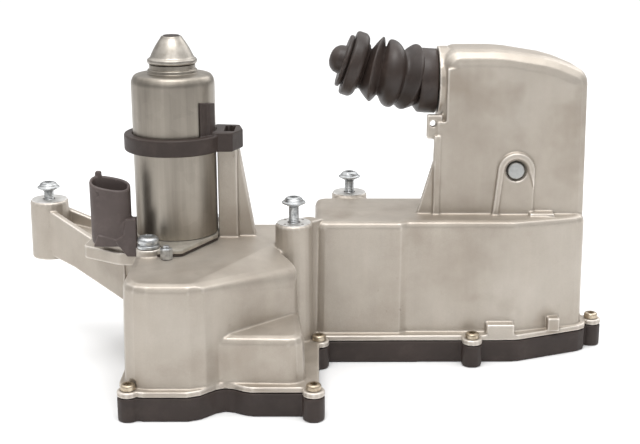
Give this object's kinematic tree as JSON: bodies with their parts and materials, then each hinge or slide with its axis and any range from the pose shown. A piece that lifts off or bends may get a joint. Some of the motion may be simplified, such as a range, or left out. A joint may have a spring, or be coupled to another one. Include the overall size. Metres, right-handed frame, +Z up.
{
  "type": "clutch actuator",
  "caption": "Electromechanical clutch actuator: cast gear housing with upright motor, worm drive, rocker tower and a push rod in a rubber bellows.",
  "frame": {"origin": "on the underside of the bottom cover, in the inner corner where the gear case and the long housing meet", "axes": "+Z up, away from the cover, along the motor's axis; +X along the long housing towards the tower; +Y from the front wall to the back"},
  "size_m": [0.3501, 0.1657, 0.1907],
  "materials": {
    "cast_aluminium": "die cast, satin, slightly stained",
    "cover_plastic": "moulded, fine texture",
    "connector_plastic": "moulded, satin",
    "galvanised_steel": "galvanised, semi-gloss",
    "bright_zinc": "bright zinc",
    "plain_steel": "ground",
    "rubber": "satin, slightly dusty",
    "bronze": "machined",
    "copper": "varnished",
    "nylon": "moulded",
    "circuit": "solder mask"
  },
  "bodies": {
    "housing": {"main_housing": "cast_aluminium", "bottom_cover": "cover_plastic", "cover_seal": "rubber", "cover_screw_1": "bright_zinc", "cover_screw_2": "bright_zinc", "cover_screw_3": "bright_zinc", "cover_screw_4": "bright_zinc", "cover_screw_5": "bright_zinc", "cover_screw_6": "bright_zinc", "cover_screw_7": "bright_zinc", "cover_screw_8": "bright_zinc", "cover_screw_9": "bright_zinc", "mounting_screw_left": "bright_zinc", "mounting_screw_middle": "bright_zinc", "mounting_screw_back": "bright_zinc", "motor_gasket": "rubber", "motor_flange": "galvanised_steel", "motor_can": "galvanised_steel", "motor_cone": "bright_zinc", "cone_plug": "cover_plastic", "motor_screw_front": "bright_zinc", "motor_screw_back": "bright_zinc", "earth_stud": "bright_zinc", "magnet_left": "plain_steel", "magnet_right": "plain_steel", "brush_holder": "nylon", "brush_left": "plain_steel", "brush_right": "plain_steel", "shaft_bearing_lower": "plain_steel", "shaft_bearing_upper": "plain_steel", "wheel_axle": "plain_steel", "rod_bush_left": "bronze", "rod_bush_right": "bronze", "compensation_spring": "plain_steel", "cross_pin": "plain_steel", "rocker_spacer_front": "bronze", "rocker_spacer_back": "bronze", "guide_bush": "bronze", "bellows": "rubber", "strap_clamp": "cover_plastic", "connector_shell": "connector_plastic", "terminal_block": "bronze", "circuit_board": "circuit", "capacitor_left": "bright_zinc", "capacitor_right": "bright_zinc"},
    "rotor": {"worm_shaft": "plain_steel", "armature_core": "plain_steel", "winding_lower": "copper", "winding_upper": "copper", "commutator": "copper"},
    "wheel": {"worm_wheel": "bronze", "crank_pin": "plain_steel"},
    "thrust_rod": {"thrust_rod": "plain_steel"},
    "rocker": {"rocker": "plain_steel"},
    "push_rod": {"push_rod": "plain_steel", "thrust_disc": "rubber", "tip_cap": "rubber"}
  },
  "joints": [
    {"name": "rotor_spin", "type": "hinge", "parent": "housing", "child": "rotor", "pos_m": [-0.079, 0.021, 0.1], "axis": [0, 0, 1], "range_deg": [0, 2240]},
    {"name": "wheel_turn", "type": "hinge", "parent": "housing", "child": "wheel", "pos_m": [-0.049, 0.021, 0.044], "axis": [0, 1, 0], "range_deg": [0, 70]},
    {"name": "rod_slide", "type": "slide", "parent": "housing", "child": "thrust_rod", "axis": [1, 0, 0], "range_m": [0, 0.02065], "deforming": ["compensation_spring"]},
    {"name": "rocker_swing", "type": "hinge", "parent": "housing", "child": "rocker", "pos_m": [0.1185, 0.052, 0.1104], "axis": [0, -1, 0], "range_deg": [0, 24.64]},
    {"name": "push_slide", "type": "slide", "parent": "housing", "child": "push_rod", "axis": [-0.9781, 0, 0.2079], "range_m": [0, 0.01638], "deforming": ["bellows"]}
  ],
  "couplings": [
    {"joint": "wheel_turn", "follows": "rotor_spin", "ratio": 0.03125},
    {"joint": "rod_slide", "follows": "rotor_spin", "m_per_rad": 0.00052816},
    {"joint": "rocker_swing", "follows": "rotor_spin", "ratio": 0.010996},
    {"joint": "push_slide", "follows": "rotor_spin", "m_per_rad": 0.00041872}
  ]
}
